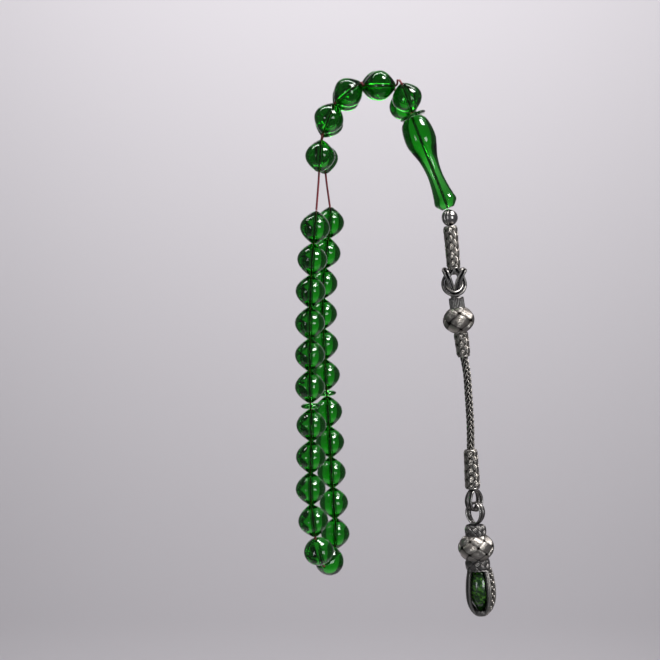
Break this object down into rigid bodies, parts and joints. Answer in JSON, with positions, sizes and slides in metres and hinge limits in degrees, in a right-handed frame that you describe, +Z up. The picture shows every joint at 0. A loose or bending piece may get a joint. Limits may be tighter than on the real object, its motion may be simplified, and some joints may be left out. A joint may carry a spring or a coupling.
{
  "type": "misbaha prayer beads",
  "caption": "String of clear green prayer beads draped over a finger, with divider discs, a long turned leader bead and a woven silver tassel ending in a caged green drop.",
  "frame": {"origin": "the top of the finger that the bead loop is draped over, on the loop's middle plane", "axes": "+Z up; +X towards the leader and tassel; -Y towards the viewer, the side of the front strand"},
  "size_m": [0.0599, 0.0233, 0.1645],
  "materials": {
    "green_resin": "clear green cast resin, polished to a glass-like gloss",
    "cord_thread": "twisted rose-red silk cord, matt",
    "woven_silver": "hand-woven silver wire, darkened between the strands and rubbed bright on top",
    "silver_wire": "plain drawn silver wire, polished, oxidised in the hollows",
    "silver_braid": "braided fine silver wire rope, oxidised dark",
    "dark_silver": "blackened silver with worn bright edges",
    "glitter_stone": "green glitter stone with gold flecks"
  },
  "bodies": {
    "finger_drape": {"cord_saddle_front": "cord_thread", "cord_saddle_back": "cord_thread"},
    "hanging_loop": {"cord_loop": "cord_thread"},
    "leader_yoke": {"cord_yoke_front": "cord_thread", "cord_yoke_back": "cord_thread", "cord_leader": "cord_thread"},
    "tassel_top": {"top_ball": "silver_wire", "sleeve_upper": "woven_silver", "hook_loop": "silver_wire"},
    "tassel_middle": {"ring_loop": "silver_wire", "ferrule": "dark_silver", "woven_ball_upper": "woven_silver", "sleeve_middle": "woven_silver", "rope_upper_half": "silver_braid"},
    "tassel_lower": {"rope_lower_half": "silver_braid", "sleeve_lower": "woven_silver", "upper_links": "silver_wire"},
    "drop": {"lower_links": "silver_wire", "collar_upper": "dark_silver", "woven_ball_lower": "woven_silver", "collar_lower": "dark_silver", "drop_stone": "glitter_stone", "drop_cage": "woven_silver"},
    "bead_01": {"bead_01": "green_resin"},
    "bead_02": {"bead_02": "green_resin"},
    "bead_03": {"bead_03": "green_resin"},
    "bead_04": {"bead_04": "green_resin"},
    "bead_05": {"bead_05": "green_resin"},
    "bead_06": {"bead_06": "green_resin"},
    "bead_07": {"bead_07": "green_resin"},
    "bead_08": {"bead_08": "green_resin"},
    "bead_09": {"bead_09": "green_resin"},
    "bead_10": {"bead_10": "green_resin"},
    "bead_11": {"bead_11": "green_resin"},
    "bead_12": {"bead_12": "green_resin"},
    "bead_13": {"bead_13": "green_resin"},
    "bead_14": {"bead_14": "green_resin"},
    "bead_15": {"bead_15": "green_resin"},
    "bead_16": {"bead_16": "green_resin"},
    "bead_17": {"bead_17": "green_resin"},
    "bead_18": {"bead_18": "green_resin"},
    "bead_19": {"bead_19": "green_resin"},
    "bead_20": {"bead_20": "green_resin"},
    "bead_21": {"bead_21": "green_resin"},
    "bead_22": {"bead_22": "green_resin"},
    "bead_23": {"bead_23": "green_resin"},
    "bead_24": {"bead_24": "green_resin"},
    "bead_25": {"bead_25": "green_resin"},
    "bead_26": {"bead_26": "green_resin"},
    "bead_27": {"bead_27": "green_resin"},
    "bead_28": {"bead_28": "green_resin"},
    "bead_29": {"bead_29": "green_resin"},
    "bead_30": {"bead_30": "green_resin"},
    "bead_31": {"bead_31": "green_resin"},
    "bead_32": {"bead_32": "green_resin"},
    "bead_33": {"bead_33": "green_resin"},
    "divider_disc_front": {"divider_disc_front": "green_resin"},
    "divider_disc_back": {"divider_disc_back": "green_resin"},
    "leader_disc": {"leader_disc": "green_resin"},
    "leader_bead": {"leader_bead": "green_resin"}
  },
  "joints": [
    {"name": "loop_swing", "type": "hinge", "parent": "finger_drape", "child": "hanging_loop", "pos_m": [-0.0152, 0, -0.0328], "axis": [0.272, 0.9521, 0.1394], "range_deg": [-6, 30]},
    {"name": "leader_swing", "type": "hinge", "parent": "finger_drape", "child": "leader_yoke", "pos_m": [0.0065, -0.0001, 0.005], "axis": [-0.0674, 0.9957, 0.0635], "range_deg": [-40, 0]},
    {"name": "ball_swing", "type": "hinge", "parent": "leader_yoke", "child": "tassel_top", "pos_m": [0.02275, 0, -0.03535], "axis": [1, 0, 0], "range_deg": [-35, 35]},
    {"name": "hook_swing", "type": "hinge", "parent": "tassel_top", "child": "tassel_middle", "pos_m": [0.0241, 0, -0.0513], "axis": [0, 1, 0], "range_deg": [-5, 7]},
    {"name": "rope_bend", "type": "hinge", "parent": "tassel_middle", "child": "tassel_lower", "pos_m": [0.02853, 0, -0.0909], "axis": [0, 1, 0], "range_deg": [-25, 25]},
    {"name": "link_swing", "type": "hinge", "parent": "tassel_lower", "child": "drop", "pos_m": [0.03015, 0, -0.12305], "axis": [0.766, 0.6428, 0], "range_deg": [-20, 20]},
    {"name": "spin_bead_01", "type": "hinge", "parent": "leader_yoke", "child": "bead_01", "pos_m": [0.00955, -0.0054, -0.0005], "axis": [0.3726, 0.5293, -0.7622], "continuous": true},
    {"name": "spin_bead_02", "type": "hinge", "parent": "finger_drape", "child": "bead_02", "pos_m": [0.00142, -0.00559, 0.00308], "axis": [-0.9995, 0.0269, 0.0166], "continuous": true},
    {"name": "spin_bead_03", "type": "hinge", "parent": "finger_drape", "child": "bead_03", "pos_m": [-0.00785, -0.00569, 0.00102], "axis": [-0.7788, -0.0292, -0.6266], "continuous": true},
    {"name": "spin_bead_04", "type": "hinge", "parent": "finger_drape", "child": "bead_04", "pos_m": [-0.01353, -0.00609, -0.00673], "axis": [-0.3719, -0.0387, -0.9275], "continuous": true},
    {"name": "slide_bead_05", "type": "slide", "parent": "finger_drape", "child": "bead_05", "axis": [-0.069, -0.0312, -0.9971], "range_m": [0, 0.0115]},
    {"name": "spin_bead_06", "type": "hinge", "parent": "hanging_loop", "child": "bead_06", "pos_m": [-0.01761, -0.007, -0.03889], "axis": [-0.0854, 0, -0.9963], "continuous": true},
    {"name": "spin_bead_07", "type": "hinge", "parent": "hanging_loop", "child": "bead_07", "pos_m": [-0.01842, -0.007, -0.04826], "axis": [-0.0692, 0, -0.9976], "continuous": true},
    {"name": "spin_bead_08", "type": "hinge", "parent": "hanging_loop", "child": "bead_08", "pos_m": [-0.01891, -0.007, -0.05761], "axis": [-0.0362, 0, -0.9993], "continuous": true},
    {"name": "spin_bead_09", "type": "hinge", "parent": "hanging_loop", "child": "bead_09", "pos_m": [-0.0191, -0.007, -0.06696], "axis": [-0.0091, 0, -1], "continuous": true},
    {"name": "spin_bead_10", "type": "hinge", "parent": "hanging_loop", "child": "bead_10", "pos_m": [-0.0191, -0.007, -0.07632], "axis": [-0.0016, 0, -1], "continuous": true},
    {"name": "spin_bead_11", "type": "hinge", "parent": "hanging_loop", "child": "bead_11", "pos_m": [-0.01909, -0.007, -0.08567], "axis": [0.0229, 0, -0.9997], "continuous": true},
    {"name": "spin_bead_12", "type": "hinge", "parent": "hanging_loop", "child": "bead_12", "pos_m": [-0.01869, -0.007, -0.09691], "axis": [0.008, 0.0005, -1], "continuous": true},
    {"name": "spin_bead_13", "type": "hinge", "parent": "hanging_loop", "child": "bead_13", "pos_m": [-0.01881, -0.007, -0.10626], "axis": [-0.0155, -0.006, -0.9999], "continuous": true},
    {"name": "spin_bead_14", "type": "hinge", "parent": "hanging_loop", "child": "bead_14", "pos_m": [-0.01888, -0.00711, -0.11562], "axis": [0.0376, -0.0233, -0.999], "continuous": true},
    {"name": "spin_bead_15", "type": "hinge", "parent": "hanging_loop", "child": "bead_15", "pos_m": [-0.01812, -0.00729, -0.12494], "axis": [0.1275, 0.0135, -0.9918], "continuous": true},
    {"name": "spin_bead_16", "type": "hinge", "parent": "hanging_loop", "child": "bead_16", "pos_m": [-0.01648, -0.00618, -0.1341], "axis": [0.2151, 0.4633, -0.8597], "continuous": true},
    {"name": "spin_bead_17", "type": "hinge", "parent": "hanging_loop", "child": "bead_17", "pos_m": [-0.01342, 0.0015, -0.13853], "axis": [0.3357, 0.9268, 0.1683], "continuous": true},
    {"name": "spin_bead_18", "type": "hinge", "parent": "hanging_loop", "child": "bead_18", "pos_m": [-0.01159, 0.00717, -0.13133], "axis": [0.0207, 0.174, 0.9845], "continuous": true},
    {"name": "spin_bead_19", "type": "hinge", "parent": "hanging_loop", "child": "bead_19", "pos_m": [-0.01203, 0.0074, -0.12196], "axis": [-0.0629, 0.0005, 0.998], "continuous": true},
    {"name": "spin_bead_20", "type": "hinge", "parent": "hanging_loop", "child": "bead_20", "pos_m": [-0.01273, 0.00719, -0.11263], "axis": [-0.0618, -0.0224, 0.9978], "continuous": true},
    {"name": "spin_bead_21", "type": "hinge", "parent": "hanging_loop", "child": "bead_21", "pos_m": [-0.01323, 0.007, -0.10329], "axis": [-0.0602, -0.0085, 0.9981], "continuous": true},
    {"name": "spin_bead_22", "type": "hinge", "parent": "hanging_loop", "child": "bead_22", "pos_m": [-0.01383, 0.007, -0.09397], "axis": [-0.0636, 0, 0.998], "continuous": true},
    {"name": "spin_bead_23", "type": "hinge", "parent": "hanging_loop", "child": "bead_23", "pos_m": [-0.01453, 0.007, -0.08274], "axis": [-0.0576, 0, 0.9983], "continuous": true},
    {"name": "spin_bead_24", "type": "hinge", "parent": "hanging_loop", "child": "bead_24", "pos_m": [-0.01503, 0.007, -0.0734], "axis": [-0.0502, 0, 0.9987], "continuous": true},
    {"name": "spin_bead_25", "type": "hinge", "parent": "hanging_loop", "child": "bead_25", "pos_m": [-0.01541, 0.007, -0.06405], "axis": [-0.0143, 0, 0.9999], "continuous": true},
    {"name": "spin_bead_26", "type": "hinge", "parent": "hanging_loop", "child": "bead_26", "pos_m": [-0.01526, 0.007, -0.05469], "axis": [0.0645, 0, 0.9979], "continuous": true},
    {"name": "spin_bead_27", "type": "hinge", "parent": "hanging_loop", "child": "bead_27", "pos_m": [-0.01432, 0.007, -0.04538], "axis": [0.1155, 0, 0.9933], "continuous": true},
    {"name": "spin_bead_28", "type": "hinge", "parent": "hanging_loop", "child": "bead_28", "pos_m": [-0.01326, 0.007, -0.03608], "axis": [0.0477, 0, 0.9989], "continuous": true},
    {"name": "slide_bead_29", "type": "slide", "parent": "finger_drape", "child": "bead_29", "axis": [0.124, 0.0482, -0.9911], "range_m": [0, 0.0095]},
    {"name": "spin_bead_30", "type": "hinge", "parent": "finger_drape", "child": "bead_30", "pos_m": [-0.01346, 0.00593, -0.00568], "axis": [-0.4033, 0.057, -0.9133], "continuous": true},
    {"name": "spin_bead_31", "type": "hinge", "parent": "finger_drape", "child": "bead_31", "pos_m": [-0.00826, 0.0055, 0.00205], "axis": [-0.7387, 0.0281, -0.6735], "continuous": true},
    {"name": "spin_bead_32", "type": "hinge", "parent": "finger_drape", "child": "bead_32", "pos_m": [0.00081, 0.0054, 0.00549], "axis": [-0.9963, -0.045, -0.0731], "continuous": true},
    {"name": "spin_bead_33", "type": "hinge", "parent": "leader_yoke", "child": "bead_33", "pos_m": [0.00923, 0.00573, -0.00061], "axis": [0.3938, -0.5018, -0.7701], "continuous": true},
    {"name": "spin_divider_disc_front", "type": "hinge", "parent": "hanging_loop", "child": "divider_disc_front", "pos_m": [-0.01887, -0.007, -0.09129], "axis": [0.0448, 0, -0.999], "continuous": true},
    {"name": "spin_divider_disc_back", "type": "hinge", "parent": "hanging_loop", "child": "divider_disc_back", "pos_m": [-0.01419, 0.007, -0.08835], "axis": [-0.0629, 0, 0.998], "continuous": true},
    {"name": "spin_leader_disc", "type": "hinge", "parent": "leader_yoke", "child": "leader_disc", "pos_m": [0.01165, 0, -0.0048], "axis": [0.3714, 0, -0.9285], "continuous": true},
    {"name": "spin_leader_bead", "type": "hinge", "parent": "leader_yoke", "child": "leader_bead", "pos_m": [0.01125, 0, -0.00495], "axis": [0.3714, 0, -0.9285], "continuous": true}
  ]
}
